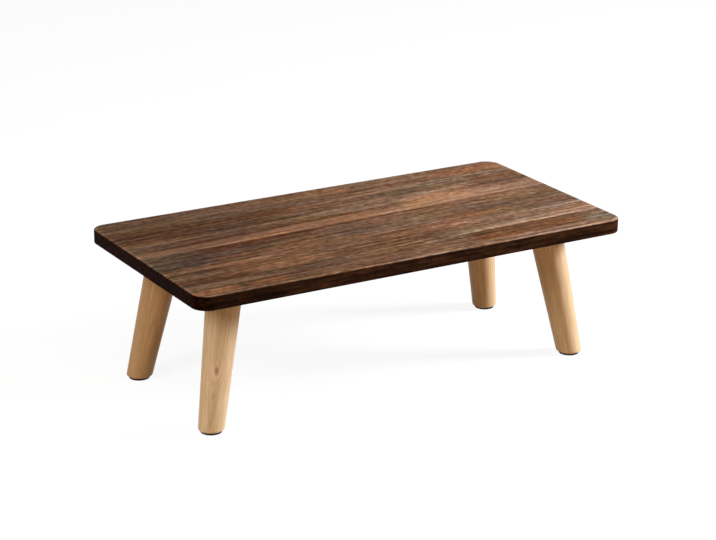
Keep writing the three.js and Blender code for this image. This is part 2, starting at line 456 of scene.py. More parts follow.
# Where one of these tints lies, the colour is also drawn this near to an even one
veils = {"amber": (0.55, (126, 98, 79)), "orange": (0.45, (145, 112, 88)), "tan": (0.45, (162, 124, 94))}
# Tint, amount, run along X, fade at its ends, front edge from left to right, width, and the softness of
# the front and the back edge, all lengths in mm
boardBands = [
    # the light orange streak along the middle, sharp at its front and lost in a glow at the right
    ("amber", 0.75, (-330, -110), 10, (1.5, 9.5), 17, (0.8, 3)),
    ("orange", 0.8, (-110, 100), 10, (9, 16), 20, (0.8, 4)),
    ("tan", 0.72, (100, 235), 25, (15.5, 22.5), 32, (1.2, 8)),
    ("fawn", 0.6, (95, 190), 20, (23, 26), 37, (6, 5)),
    ("beige", 0.3, (215, 330), 25, (24.5, 26.5), 19, (3, 4)),
    ("light", 0.6, (-215, -95), 14, (5, 10.5), 3.4, (0.7, 0.8)),
    ("umber", 0.85, (-265, -110), 20, (20, 28), 6.5, (2, 1.5)),
    ("umber", 0.75, (-110, 30), 20, (31, 38), 4.5, (1.5, 1)),
    ("dark", 0.6, (-100, 110), 20, (3.5, 10), 5.8, (2.5, 0.7)),
    ("maroon", 0.8, (-228, -60), 22, (-17, -13), 21.5, (7, 0.8)),
    ("russet", 1.0, (-235, 40), 40, (-170, -170), 340, (1, 1)),
    # the dark left end
    ("slate", 0.5, (-330, -228), 16, (-51, -48), 53, (5, 1)),
    ("plum", 0.6, (-262, -215), 12, (-50, -47), 33, (5, 5)),
    ("brown", 0.6, (-330, -95), 35, (58, 61), 46, (3, 7)),
    ("dark", 0.7, (-232, -50), 18, (55.5, 59), 5, (1, 1.4)),
    ("plum", 0.8, (-275, -125), 20, (27, 34), 14, (2, 1)),
    ("ash", 0.8, (-330, -262), 10, (30, 41), 6, (1.5, 1)),
    ("beige", 0.7, (-268, -150), 12, (42, 47.5), 4, (1, 1)),
    ("beige", 0.8, (-150, 20), 20, (49.5, 54), 4.5, (1, 1)),
    ("dark", 0.5, (-270, -120), 20, (37, 42), 3, (1, 1)),
    ("beige", 0.6, (-315, -215), 15, (109, 111), 3.4, (0.8, 0.8)),
    ("ash", 0.7, (-330, -245), 14, (-64.5, -63), 8.5, (2, 1.5)),
    ("beige", 0.5, (-240, -155), 16, (-65.5, -62.5), 12, (3, 2)),
    ("dark", 0.65, (-330, -215), 18, (-74, -72), 6.5, (1.5, 1.5)),
    ("ash", 0.7, (-315, -222), 14, (-84.5, -83.5), 4, (0.9, 0.9)),
    ("fawn", 0.9, (-240, -95), 22, (-103, -98), 46, (7, 6)),
    ("light", 0.3, (-202, -155), 10, (-95, -91.5), 10, (2, 2)),
    ("umber", 0.8, (-330, -200), 18, (-107.5, -107), 13, (1, 4)),
    ("orange", 0.5, (-330, -200), 18, (-122, -120), 12.5, (1, 1.5)),
    ("umber", 0.75, (-262, -140), 14, (-127.5, -127), 4.5, (1, 1)),
    ("rust", 0.9, (-330, -243), 10, (-142.5, -140.5), 14, (3, 2)),
    ("ember", 0.75, (-225, -178), 10, (-140, -139), 11.5, (3, 2)),
    # the middle
    ("brown", 0.6, (-112, -52), 18, (82, 84), 22, (5, 5)),
    ("ember", 0.6, (33, 57), 6, (123.5, 124.5), 6.5, (2, 2)),
    ("beige", 0.35, (-60, 165), 25, (43, 47.5), 20, (3, 2)),
    ("slate", 0.5, (-42, 14), 12, (-36, -32), 41, (6, 3)),
    ("dark", 0.55, (-86, -34), 10, (-65.5, -61), 4.5, (1, 1)),
    ("dark", 0.55, (-14, 62), 12, (-58.5, -54), 4.5, (1, 1)),
    ("light", 0.7, (-80, 40), 12, (-107.5, -98.5), 3.8, (0.8, 0.8)),
    ("light", 0.5, (-52, 24), 12, (-94, -89), 3.6, (0.8, 0.8)),
    ("beige", 0.5, (-60, 60), 12, (-84.5, -79), 3.6, (0.8, 0.8)),
    ("light", 0.5, (28, 47), 6, (-113.5, -112.5), 13, (2, 2)),
    # the right end
    ("light", 0.4, (35, 175), 15, (93.5, 104), 3.5, (1, 1)),
    ("light", 0.7, (175, 330), 15, (104, 108.5), 4, (1, 1)),
    ("ember", 0.5, (185, 330), 18, (110.5, 113.5), 19, (2, 5)),
    ("umber", 0.75, (222, 253), 6, (79, 80), 24, (4, 2)),
    ("maroon", 0.5, (262, 296), 8, (76, 76), 27, (4, 2)),
    ("slate", 0.7, (94, 160), 14, (77, 79), 14, (2, 2)),
    ("dark", 0.65, (100, 186), 12, (72.5, 74), 4, (0.8, 0.8)),
    ("beige", 0.5, (110, 215), 15, (65, 66), 7, (2, 1)),
    ("plum", 0.9, (208, 300), 12, (46, 48), 20, (5, 3)),
    ("dark", 0.55, (220, 305), 10, (63.5, 64.5), 3.6, (0.8, 0.8)),
    ("maroon", 0.4, (95, 170), 20, (-50, -48), 65, (8, 1)),
    ("brown", 0.45, (150, 330), 18, (-54, -51), 47, (4, 3)),
    ("light", 0.6, (95, 330), 15, (-64, -61), 5, (1, 1)),
    ("beige", 0.6, (120, 330), 15, (-71, -68.5), 4, (0.8, 0.8)),
    ("beige", 0.55, (90, 330), 18, (-83, -80), 20, (3, 3)),
    ("beige", 0.8, (85, 330), 18, (-101, -96.5), 16, (0.8, 1.5)),
    ("light", 0.4, (60, 330), 18, (-101.5, -96.5), 4.4, (0.8, 1)),
    ("umber", 0.92, (88, 262), 20, (-134.5, -131.5), 33, (4, 0.8)),
    ("grey", 0.7, (250, 330), 14, (-142, -139), 40, (6, 2)),
]


def makeStainedWood():
    material, tree, shader = newMaterial("stainedWood")
    look = boardFinish
    position = objectPlace(tree)
    side, under, arris = separate(tree, attribute(tree, "zones"))
    flow = useGroup(
        tree, wanderGroup, Vector=position, Reach=look["wanderReach"] * mm, Span=look["wanderSpan"] * mm
    )[0]
    turn = addNode(tree, "ShaderNodeMapping", {"Vector": flow, "Rotation": (0, 0, -look["slope"])})
    along = turn.outputs[0]

    level = {}
    total = 0.5
    for name, (*sizes, weight) in look["levels"].items():
        level[name] = fibres(tree, along, *sizes)
        total = maths(tree, "MULTIPLY_ADD", maths(tree, "SUBTRACT", level[name], 0.5), weight, total)
    colour = ramp(tree, total, look["stops"])

    # Hue: long red and grey fields, and a finer mix of warm and cool in short streaks
    hue = {name: fibres(tree, along, *sizes) for name, sizes in look["hues"].items()}
    for name, tint in (("redness", "redTint"), ("greyness", "greyTint")):
        colour = mixed(tree, eased(tree, hue[name], 0.35, 0.7), colour, look[tint], "MULTIPLY")
    for name, low, high in (("warmth", "coolTint", "warmTint"), ("ochre", "mauveTint", "ochreTint")):
        shift = mixed(tree, eased(tree, hue[name], 0.35, 0.65), look[low], look[high])
        colour = mixed(tree, 1.0, colour, shift, "MULTIPLY")
    # Painted light: the top is drawn darker at the left end and lighter and bluer to the right, for the
    # lamp's falloff and a sheen
    paintedLightStart, paintedLightEnd = look["paintedLightRun"]
    paintedLightRamp = eased(tree, separate(tree, position)[0], paintedLightStart * mm, paintedLightEnd * mm)
    colour = mixed(tree, 1.0, colour, mixed(tree, paintedLightRamp, *look["paintedLightTints"]), "MULTIPLY")

    # The listed bands lie on the top alone, broken up a little along the grain
    onTop = maths(tree, "SUBTRACT", 1.0, maths(tree, "MAXIMUM", side, under))
    broken = maths(tree, "MULTIPLY", eased(tree, level["streak"], 0.3, 0.6, 0.7, 1.0), onTop)
    flowX, flowY, _ = separate(tree, flow)
    for tint, amount, (fromX, toX), fade, (fromY, toY), width, (frontSoft, backSoft) in boardBands:
        slope = (toY - fromY) / (toX - fromX)
        front = fromY - fromX * slope
        mask = useGroup(
            tree,
            bandGroup,
            X=flowX,
            Y=flowY,
            Amount=amount,
            FromX=fromX * mm,
            ToX=toX * mm,
            Fade=fade * mm,
            Slope=slope,
            Front=front * mm,
            Back=(front + width) * mm,
            FrontSoft=frontSoft * mm,
            BackSoft=backSoft * mm,
        )[0]
        mask = maths(tree, "MULTIPLY", mask, broken)
        colour = mixed(tree, mask, colour, tints[tint], "MULTIPLY")
        if tint in veils:
            share, even = veils[tint]
            colour = mixed(tree, maths(tree, "MULTIPLY", mask, share), colour, tone(*even))

    rings = useGroup(tree, ringGroup, Vector=along, **look["rings"])
    region = eased(tree, level["field"], 0.42, 0.62, 0.1, 0.6)
    lines = maths(tree, "MULTIPLY", rings["Line"], region)
    colour = mixed(tree, lines, colour, look["lineTint"], "MULTIPLY")
    pores = useGroup(tree, poreGroup, Vector=along, **look["pores"])[0]
    colour = mixed(tree, maths(tree, "MULTIPLY", pores, 0.6), colour, look["poreTint"], "MULTIPLY")

    # The stain is darker on the sides, and darkest on the end grain at the left and right
    normal = addNode(tree, "ShaderNodeNewGeometry", {}).outputs["Normal"]
    faced = maths(tree, "ABSOLUTE", separate(tree, normal)[0])
    endward = eased(tree, faced, 0.3, 0.9)
    stain = mixed(tree, endward, tone(*look["sideColour"]), tone(*look["endColour"]))
    streaked = fibres(tree, along, *look["sideStreak"])
    shade = eased(tree, total, 0.36, 0.64, 0.6, 1.45)
    shade = maths(tree, "MULTIPLY", shade, eased(tree, streaked, 0.36, 0.66, 0.5, 1.65))
    # the same painted light ramp makes the sides darker towards the left end
    shade = maths(tree, "MULTIPLY", shade, eased(tree, paintedLightRamp, 0.0, 0.3, 0.5, 1.05))
    stain = vectorMaths(tree, "MULTIPLY", stain, combine(tree, shade, shade, shade))
    colour = mixed(tree, side, colour, stain)
    colour = mixed(tree, under, colour, look["underTint"], "MULTIPLY")
    # Painted highlight: a lighter line along the upper arris, where its rounding would catch the light
    paintedHighlight = maths(tree, "MULTIPLY", arris, eased(tree, level["thread"], 0.3, 0.6, 0.5, 1.0))
    colour = mixed(tree, paintedHighlight, colour, look["paintedHighlightTint"], "MULTIPLY")

    relief = maths(tree, "MULTIPLY", level["thread"], 0.6)
    relief = maths(tree, "MULTIPLY_ADD", level["fibre"], 0.35, relief)
    relief = maths(tree, "SUBTRACT", relief, maths(tree, "MULTIPLY", pores, 0.3))
    relief = maths(tree, "SUBTRACT", relief, maths(tree, "MULTIPLY", lines, 0.3))
    roughness = eased(tree, level["thread"], 0.3, 0.7, *look["roughness"])
    dress(tree, shader, colour, roughness, relief, *look["relief"])
    shader.inputs["Specular IOR Level"].default_value = look["gloss"]
    return material


# Pale wood of the legs. It reads the grain attribute: each leg's own frame, its grain along X and a
# length of its own further along, so that no two legs are alike and the one knot falls on the leg
# nearest the camera
legFinish = {
    "base": (221, 192, 149),
    "late": (186, 149, 106),
    "fresh": (231, 205, 165),
    "warm": (209, 173, 129),
    "dash": (160, 114, 76),
    "knotHeart": (158, 106, 68),
    "knotHalo": (204, 156, 112),
    "knotLight": (240, 212, 176),
    "knotDepth": 101 * mm,
    "knotFacing": math.radians(27),
    # along the leg, across it and in from its face
    "knotReach": (7.5 * mm, 5 * mm, 5 * mm),
    "knotPush": 3.5 * mm,
    # a fainter, longer mark below the knot: how far below, its reach and its amount
    "markDrop": 30 * mm,
    "markReach": (7 * mm, 1.3 * mm, 10.4 * mm),
    "markAmount": 0.4,
    "wander": {"Reach": 0.9 * mm, "Span": 110 * mm},
    # length and width in mm, detail and seed of each scale of fibre
    "field": (160, 10, 1.5, 2.2),
    "thread": (70, 1.2, 2.0, 4.1),
    "fibre": (20, 0.35, 1.0, 9.4),
    "threadTints": ((0.86, 0.84, 0.79, 1), (1.11, 1.13, 1.15, 1)),
    "rings": {"PithY": 34 * mm, "PithZ": 21 * mm, "Spacing": 3.4 * mm, "Thinness": 3.5},
    "dashes": {"Length": 4 * mm, "Width": 0.3 * mm, "Share": 0.07},
    "roughness": (0.52, 0.44),
    "relief": (0.35, 0.12 * mm),  # strength and depth
    "gloss": 0.3,
}


def makePaleWood():
    material, tree, shader = newMaterial("paleWood")
    look = legFinish
    grain = attribute(tree, "grain")
    flow = useGroup(tree, wanderGroup, Vector=grain, **look["wander"])[0]

    # How near the knot's heart a point is: one at the heart, zero at its edge and beyond. Pale lines fan
    # out of it, in a V that opens upwards
    heart = (-look["knotDepth"], *legKnot)
    offset = vectorMaths(tree, "SUBTRACT", grain, heart)
    offset = vectorMaths(tree, "DIVIDE", offset, look["knotReach"])
    away = vectorLength(tree, offset)
    knot = eased(tree, away, 1.0, 0.3)
    halo = eased(tree, away, 3.2, 0.7)
    alongKnot, acrossKnot, _ = separate(tree, offset)
    spread = maths(tree, "MULTIPLY_ADD", alongKnot, -0.3, maths(tree, "ABSOLUTE", acrossKnot))
    fanReach = eased(tree, away, 2.4, 0.8, 0.0, 1.4)
    fan = maths(tree, "MULTIPLY", maths(tree, "PINGPONG", spread, 0.5), fanReach)
    markPlace = (heart[0] - look["markDrop"], heart[1], heart[2])
    markGap = vectorMaths(tree, "SUBTRACT", grain, markPlace)
    markGap = vectorMaths(tree, "DIVIDE", markGap, look["markReach"])
    mark = eased(tree, vectorLength(tree, markGap), 1.0, 0.2, 0.0, look["markAmount"])
    push = combine(tree, 0.0, maths(tree, "MULTIPLY", halo, look["knotPush"]), 0.0)
    bent = vectorMaths(tree, "ADD", flow, push)

    rings = useGroup(tree, ringGroup, Vector=bent, **look["rings"])
    field, thread, fibre = (fibres(tree, bent, *look[name]) for name in ("field", "thread", "fibre"))
    colour = mixed(tree, eased(tree, field, 0.3, 0.7), tone(*look["warm"]), tone(*look["fresh"]))
    colour = mixed(tree, 0.5, colour, tone(*look["base"]))
    colour = mixed(tree, maths(tree, "MULTIPLY", rings["Line"], 0.36), colour, tone(*look["late"]))
    streaks = mixed(tree, eased(tree, thread, 0.25, 0.75), *look["threadTints"])
    colour = mixed(tree, 1.0, colour, streaks, "MULTIPLY")
    dashes = useGroup(tree, poreGroup, Vector=grain, **look["dashes"])[0]
    colour = mixed(tree, maths(tree, "MULTIPLY", dashes, 0.35), colour, tone(*look["dash"]))
    colour = mixed(tree, maths(tree, "MULTIPLY", halo, 0.4), colour, tone(*look["knotHalo"]))
    colour = mixed(tree, maths(tree, "MULTIPLY", knot, 0.8), colour, tone(*look["knotHeart"]))
    colour = mixed(tree, fan, colour, tone(*look["knotLight"]))
    colour = mixed(tree, mark, colour, tone(*look["knotHeart"]))
    # Painted shade: the tone attribute darkens and reddens the legs that stand in the board's shadow, the
    # back left one most
    colour = mixed(tree, 1.0, colour, attribute(tree, "tone"), "MULTIPLY")

    relief = maths(tree, "MULTIPLY_ADD", fibre, 0.4, maths(tree, "MULTIPLY", thread, 0.6))
    relief = maths(tree, "SUBTRACT", relief, maths(tree, "MULTIPLY", dashes, 0.4))
    roughness = eased(tree, thread, 0.3, 0.7, *look["roughness"])
    dress(tree, shader, colour, roughness, relief, *look["relief"])
    shader.inputs["Specular IOR Level"].default_value = look["gloss"]
    return material


# Zinc-plated steel of the plates, bolts and screws, blotched a little and finely scratched. A speckle has
# its size in mm and its detail, and the scratches have their length and width in mm, detail and seed
steelFinish = {
    "bright": (196, 198, 200),
    "dull": (164, 167, 172),
    "warm": (190, 184, 170),
    "blotch": (9, 2.0),
    "grit": (0.6, 2.0),
    "scratch": (30, 0.25, 1.0, 6.6),
    "relief": (0.3, 0.04 * mm),
}


def makeZincSteel():
    material, tree, shader = newMaterial("zincSteel")
    look = steelFinish
    position = objectPlace(tree)
    blotch = speckle(tree, position, *look["blotch"])
    grit = speckle(tree, position, *look["grit"])
    scratch = fibres(tree, position, *look["scratch"])
    colour = mixed(tree, eased(tree, blotch, 0.35, 0.65), tone(*look["dull"]), tone(*look["bright"]))
    colour = mixed(tree, eased(tree, blotch, 0.62, 0.5, 0.0, 0.3), colour, tone(*look["warm"]))
    roughness = maths(tree, "MULTIPLY_ADD", scratch, 0.2, 0.38)
    roughness = maths(tree, "MULTIPLY_ADD", blotch, -0.22, roughness)
    relief = maths(tree, "ADD", maths(tree, "MULTIPLY", grit, 0.6), maths(tree, "MULTIPLY", scratch, 0.4))
    dress(tree, shader, colour, roughness, relief, *look["relief"])
    shader.inputs["Metallic"].default_value = 1.0
    return material


# Dark rubber of the pads, a little dusty. A speckle has its size in mm and its detail
rubberFinish = {
    "clean": (16, 15, 14),
    "dusty": (38, 34, 31),
    "dust": (4, 3.0),
    "grit": (0.4, 2.0),
    "relief": (0.4, 0.06 * mm),
    "gloss": 0.35,
}


def makeDarkRubber():
    material, tree, shader = newMaterial("darkRubber")
    look = rubberFinish
    position = objectPlace(tree)
    dust = speckle(tree, position, *look["dust"])
    grit = speckle(tree, position, *look["grit"])
    colour = mixed(tree, eased(tree, dust, 0.4, 0.75), tone(*look["clean"]), tone(*look["dusty"]))
    roughness = maths(tree, "MULTIPLY_ADD", dust, 0.25, 0.62)
    dress(tree, shader, colour, roughness, grit, *look["relief"])
    shader.inputs["Specular IOR Level"].default_value = look["gloss"]
    return material


# Board: a rounded rectangle with both arrises rounded over
board = {
    "cornerRadius": 20 * mm,
    "arrisRadius": 1.5 * mm,
    # rows on the flats near the arrises, and rows further in as shares of the way to the middle
    "insets": (0.3 * mm, 0.8 * mm, 1.5 * mm, 2.4 * mm, 3.6 * mm, 5.5 * mm),
    "flatShares": (0.25, 0.6),
    "cornerSteps": 24,
    "arrisSteps": 8,
    "sideSteps": 8,
    "straightStep": 8 * mm,
    # where the painted highlight lies over the upper arris, measured from the side, and how far it reaches
    "paintedHighlightPlace": 3.4 * mm,
    "paintedHighlightReach": 2.3 * mm,
}


# The outline as points and outward directions: for each corner a quarter circle, then the straight to
# the next one
def boardOutline():
    radius = board["cornerRadius"]
    middles = [(1, -1), (1, 1), (-1, 1), (-1, -1)]
    reach = np.array([boardLength / 2 - radius, boardWidth / 2 - radius])
    points, outward = [], []
    for quarter, sides in enumerate(middles):
        angle = np.radians(np.linspace(-90, 0, board["cornerSteps"] + 1) + 90 * quarter)
        direction = np.stack([np.cos(angle), np.sin(angle)], axis=-1)
        bend = reach * sides + radius * direction
        nextStart = reach * middles[(quarter + 1) % 4] + radius * direction[-1]
        steps = round(float(np.linalg.norm(nextStart - bend[-1])) / board["straightStep"])
        straight = line(bend[-1], nextStart, steps)[1:-1]
        points += [bend, straight]
        outward += [direction, np.broadcast_to(direction[-1], straight.shape)]
    return np.vstack(points), np.vstack(outward)


# Each row is the outline moved outward by one amount and set at one height. The rows go up from the
# middle of the underside, round the lower arris, up the side, round the upper arris and back to the
# middle of the top
def makeBoard(material):
    outline, outward = boardOutline()
    radius, insets = board["arrisRadius"], np.array(board["insets"])
    low, high = boardLow.z, boardHigh.z
    lower = arc((-radius, low + radius), radius, -90, 0, board["arrisSteps"])
    upper = arc((-radius, high - radius), radius, 0, 90, board["arrisSteps"])
    side = line(lower[-1], upper[0], board["sideSteps"])[1:-1]
    near = [np.stack([-radius - insets, np.full(len(insets), height)], axis=-1) for height in (low, high)]
    edge = np.vstack([near[0][::-1], lower, side, upper, near[1]])
    ring = outline + outward * edge[:, 0][:, None, None]
    rows = np.concatenate([ring, np.broadcast_to(edge[:, 1][:, None, None], (*ring.shape[:2], 1))], axis=-1)
    share = np.array(board["flatShares"])[:, None, None]
    under = rows[0] * np.array([1, 1, 0]) * share + (0, 0, low)
    over = rows[-1] * np.array([1, 1, 0]) * share[::-1] + (0, 0, high)
    rows = np.concatenate([under, rows, over])

    # How much of each row is side, underside and painted highlight on the upper arris. The angle is the way
    # each row faces, from down to up, and along counts the way from the side over the upper arris and
    # across the top
    flats = len(board["flatShares"])
    angle = np.concatenate([
        np.full(flats + len(insets), -90.0),
        np.linspace(-90, 0, board["arrisSteps"] + 1),
        np.zeros(len(side)),
        np.linspace(0, 90, board["arrisSteps"] + 1),
        np.full(flats + len(insets), 90.0),
    ])
    along = np.radians(np.clip(angle, 0, 90)) * radius
    along[-flats - len(insets):] += np.concatenate([insets, np.full(flats, boardWidth / 4)])
    isSide = (1 - smooth(25, 70, angle)) * smooth(-85, -50, angle)
    isUnder = 1 - smooth(-80, -45, angle)
    isPaintedHighlight = np.exp(-(((along - board["paintedHighlightPlace"]) / board["paintedHighlightReach"]) ** 2))
    zones = np.stack([isSide, isUnder, isPaintedHighlight], axis=-1)[:, None, :]
    zones = np.broadcast_to(zones, rows.shape).copy()
    # the painted highlight is strongest on the front arris, weaker on the left one and faint on the others
    paintedHighlightShare = np.maximum(smooth(0.3, 0.9, -outward[:, 1]), 0.3 * smooth(0.3, 0.9, -outward[:, 0]))
    zones[:, :, 2] *= 0.1 + 0.9 * paintedHighlightShare
    finish(skin("stainedBoard", rows, pointData={"zones": zones}), material, "tabletop")


# Legs: turned about their own axis, with a square top, a bore for the bolt and a level, rounded foot
leg = {
    "topRadius": 21.5 * mm,
    "footRadius": 16 * mm,
    "footRounding": 3 * mm,
    "topRounding": 0.8 * mm,
    "topClearance": 0.6 * mm,
    "boreRadius": 4.3 * mm,
    "boreEnd": 1.5 * mm,
    "columns": 96,
    "taperRows": 48,
    # how far each leg's grain is turned about its axis, in degrees, and shifted along and across it
    "grain": {
        "front_left": (12, 0.0, 0.0),
        "front_right": (150, 0.7, 6 * mm),
        "back_left": (75, 1.4, -5 * mm),
        "back_right": (250, 2.1, 9 * mm),
    },
    # painted shade: how much darker and redder each leg is drawn than the finish says, most on the back
    # left leg, which stands in the board's shadow
    "tone": {
        "front_left": (1, 1, 1),
        "front_right": (1, 0.98, 0.94),
        "back_left": (0.76, 0.62, 0.48),
        "back_right": (1, 0.95, 0.88),
    },
}
plate = {
    "side": 58 * mm,
    "thickness": 2 * mm,
    "cornerRadius": 8 * mm,
    "screwInset": 6.5 * mm,
    "seatRadius": 14 * mm,
    "seatJoins": (9 * mm, 10.92 * mm),  # where the bored side's rows end and the pressed side's begin
    "bendRadius": 3 * mm,
    "filletRadius": 2 * mm,
    "draft": math.radians(15),
    "collarRadius": 7 * mm,
    "collarRounding": 0.8 * mm,
    "boreRadius": 4.3 * mm,
    "rim": 0.4 * mm,
    "columns": 160,
}
bolt = {
    "radius": 4 * mm,
    "proud": 1.2 * mm,
    "tipClearance": 1 * mm,
    "tipChamfer": 1 * mm,
    "woodLength": 30 * mm,
    "pointLength": 7 * mm,
    "pointRadius": 1 * mm,
    "plainLength": 2 * mm,
    "machinePitch": 1.25 * mm,
    "machineDepth": 0.65 * mm,
    "woodPitch": 2.8 * mm,
    "woodDepth": 1 * mm,
    "rowsPerPitch": 8,
    "columns": 40,
}
screw = {
    "radius": 2 * mm,
    "length": 14 * mm,
    "pointLength": 4 * mm,
    "pointRadius": 0.4 * mm,
    "headRadius": 4 * mm,
    "headHeight": 2.6 * mm,
    "rimHeight": 0.7 * mm,
    "rimRounding": 0.2 * mm,
    "pitch": 1.5 * mm,
    "threadDepth": 0.6 * mm,
    "rowsPerPitch": 5,
    "recessSpan": 2.35 * mm,
    "recessHalfWidth": 0.55 * mm,
    "recessDepth": 1.5 * mm,
    "columns": 48,
}
pad = {"radius": 13 * mm, "thickness": 2.5 * mm, "rounding": 0.6 * mm, "columns": 72}


# How far the rim of a disc that leans as the legs do rises over its middle
def rimRise(radius):
    return radius * math.sin(stance["tilt"])


# Depths along a leg's axis below the board's underside. The leg's highest point clears the screw heads
leanCosine = math.cos(stance["tilt"])
screwSeat = 2 * stance["seatGap"] + plate["thickness"]
legTop = (screwSeat + screw["headHeight"] + leg["topClearance"] + rimRise(leg["topRadius"])) / leanCosine
legFoot = (boardLow.z - pad["thickness"] - stance["seatGap"]) / leanCosine
boltTip = (bolt["tipClearance"] + rimRise(bolt["radius"])) / leanCosine
boltPoint = legTop + bolt["woodLength"]
plateSeat = legTop - stance["seatGap"]
collarTop = boltTip + bolt["proud"]

# Where the knot's heart lies across the grain: on the leg's face, turned as the grain is
knotShare = (legFinish["knotDepth"] - legTop) / (legFoot - legTop)
knotRadius = leg["topRadius"] + (leg["footRadius"] - leg["topRadius"]) * knotShare
knotAngle = legFinish["knotFacing"] + math.radians(leg["grain"]["front_left"][0])
legKnot = (knotRadius * math.cos(knotAngle), knotRadius * math.sin(knotAngle))


# The leg's profile turned about its axis. Its foot is sheared level: each point drops by its x times the
# lean's slope, fully at the foot and less and less up the taper, so the taper's lines stay straight
def legRows():
    rounding, topRounding = leg["footRounding"], leg["topRounding"]
    footMiddle = (leg["footRadius"] - rounding, rounding - legFoot)
    topMiddle = (leg["topRadius"] - topRounding, -legTop - topRounding)
    foot = np.vstack([
        line((0.3 * footMiddle[0], -legFoot), (0.97 * footMiddle[0], -legFoot), 2),
        arc(footMiddle, rounding, -90, 0, 12),
    ])
    taper = line(foot[-1], (leg["topRadius"], topMiddle[1]), leg["taperRows"])[1:-1]
    boreBottom = -boltPoint - leg["boreEnd"]
    top = np.vstack([
        arc(topMiddle, topRounding, 0, 90, 6),
        line((topMiddle[0] - topRounding, -legTop), (leg["boreRadius"] + topRounding, -legTop), 2),
        line((leg["boreRadius"], -legTop - topRounding / 2), (leg["boreRadius"], boreBottom), 3),
    ])
    rows = turned(np.vstack([foot, taper, top]), leg["columns"])
    drop = 1 - np.arange(1, len(taper) + 1) / (len(taper) + 1)
    shear = np.concatenate([np.ones(len(foot)), drop, np.zeros(len(top))])
    rows[..., 2] -= rows[..., 0] * math.tan(stance["tilt"]) * shear[:, None]
    return rows


# The grain attribute is the leg's own frame, along it and across it, turned and shifted for each leg
def makeLeg(corner, material):
    rows = legRows()
    turn, along, across = leg["grain"][corner]
    cosine, sine = math.cos(math.radians(turn)), math.sin(math.radians(turn))
    x, y, z = np.moveaxis(rows, -1, 0)
    grain = np.stack([z + along, x * cosine - y * sine + across, x * sine + y * cosine + across], axis=-1)
    # the tone attribute carries each leg's painted shade
    pointData = {"grain": grain, "tone": np.broadcast_to(leg["tone"][corner], rows.shape)}
    piece = skin(f"turnedLeg_{corner}", toTable(lean(rows), corner), pointData=pointData)
    finish(piece, material, f"leg_{corner}")


# A level disc under the foot, as thick as the way from the floor to the wood
def makePad(corner, material):
    rounding = pad["rounding"]
    top = pad["thickness"] + stance["seatGap"]
    radius = pad["radius"]
    profile = np.vstack([
        line((0.4 * radius, 0), (radius - 1.5 * rounding, 0), 2),
        arc((radius - rounding, rounding), rounding, -90, 0, 6),
        arc((radius - rounding / 2, top - rounding / 2), rounding / 2, 0, 90, 4),
        (0.5 * radius, top),
    ])
    rows = turned(profile, pad["columns"])
    rows[..., 0] += legFoot * math.sin(stance["tilt"])
    rows[..., 2] -= boardLow.z
    finish(skin(f"footPad_{corner}", toTable(rows, corner)), material, f"foot_pad_{corner}")


# How far the outline of a rounded square lies from its middle in each direction: up to a straight side, or
# to the corner's circle where the direction meets that
def squareReach(angle, half, radius):
    cosine, sine = np.abs(np.cos(angle)), np.abs(np.sin(angle))
    straight = half / np.maximum(cosine, sine)
    inner = half - radius
    both = inner * (cosine + sine)
    bend = both + np.sqrt(np.maximum(both**2 - 2 * inner**2 + radius**2, 0))
    return np.where(straight * np.minimum(cosine, sine) > inner, bend, straight)


# One side of the pressed steel, its surface a given depth inside, from the flat seat out to the flange's
# edge. Seat, bend and wall are turned about the leg's axis. The wall runs up to the level flange, whose
# height it meets at a different length for every angle, and a curve with its corner there joins the two
def pressedRows(depth):
    angle = circle(plate["columns"])
    draft, tilt = plate["draft"], stance["tilt"]
    bend = plate["bendRadius"] - depth
    bendMiddle = plate["bendRadius"] - plateSeat
    seatLevel = bendMiddle - bend
    seat = line((plate["seatJoins"][1], seatLevel), (plate["seatRadius"], seatLevel), 2)[:-1]
    curve = arc((plate["seatRadius"], bendMiddle), bend, -90, -math.degrees(draft), 8)
    pressed = lean(turned(np.vstack([seat, curve]), plate["columns"]))

    wallRadius, wallFoot = curve[-1]
    flange = depth - stance["seatGap"] - plate["thickness"]
    rise = flange - wallRadius * np.cos(angle) * math.sin(tilt) - wallFoot * math.cos(tilt)
    run = rise / (math.sin(draft) * np.cos(angle) * math.sin(tilt) + math.cos(draft) * math.cos(tilt))
    reach = (plate["filletRadius"] + depth) * math.tan((math.pi / 2 - draft) / 2)

    def onWall(length):
        radius = wallRadius + length * math.sin(draft)
        height = wallFoot + length * math.cos(draft)
        return lean(around(angle, radius, height))

    share = np.linspace(0, 1, 5)[1:, None, None]
    wall = np.concatenate([onWall((run - reach) * part)[None] for part in share.ravel()])
    corner = onWall(run)
    outward = np.stack([np.cos(angle), np.sin(angle), np.zeros_like(angle)], axis=-1)
    foot = corner + outward * reach
    share = np.linspace(0, 1, 9)[1:, None, None]
    fillet = wall[-1] * (1 - share) ** 2 + corner * 2 * share * (1 - share) + foot * share**2
    half, cornerRadius = plate["side"] / 2 - plate["rim"], plate["cornerRadius"] - plate["rim"]
    edge = outward * squareReach(angle, half, cornerRadius)[:, None]
    edge[:, 2] = flange
    share = np.linspace(0, 1, 6)[1:, None, None]
    return np.concatenate([pressed, wall, fillet, foot * (1 - share) + edge * share])


# The rounded rim of the flange: rows round its edge from the lower side to the upper
def rimRows():
    angle, rim = circle(plate["columns"]), plate["rim"]
    high = -stance["seatGap"]
    low = high - plate["thickness"]
    profile = np.vstack([arc((-rim, low + rim), rim, -75, 0, 4), arc((-rim, high - rim), rim, 0, 75, 4)])
    rows = []
    for inset, height in profile:
        reach = squareReach(angle, plate["side"] / 2 + inset, plate["cornerRadius"] + inset)
        rows.append(around(angle, reach, height))
    return np.stack(rows)


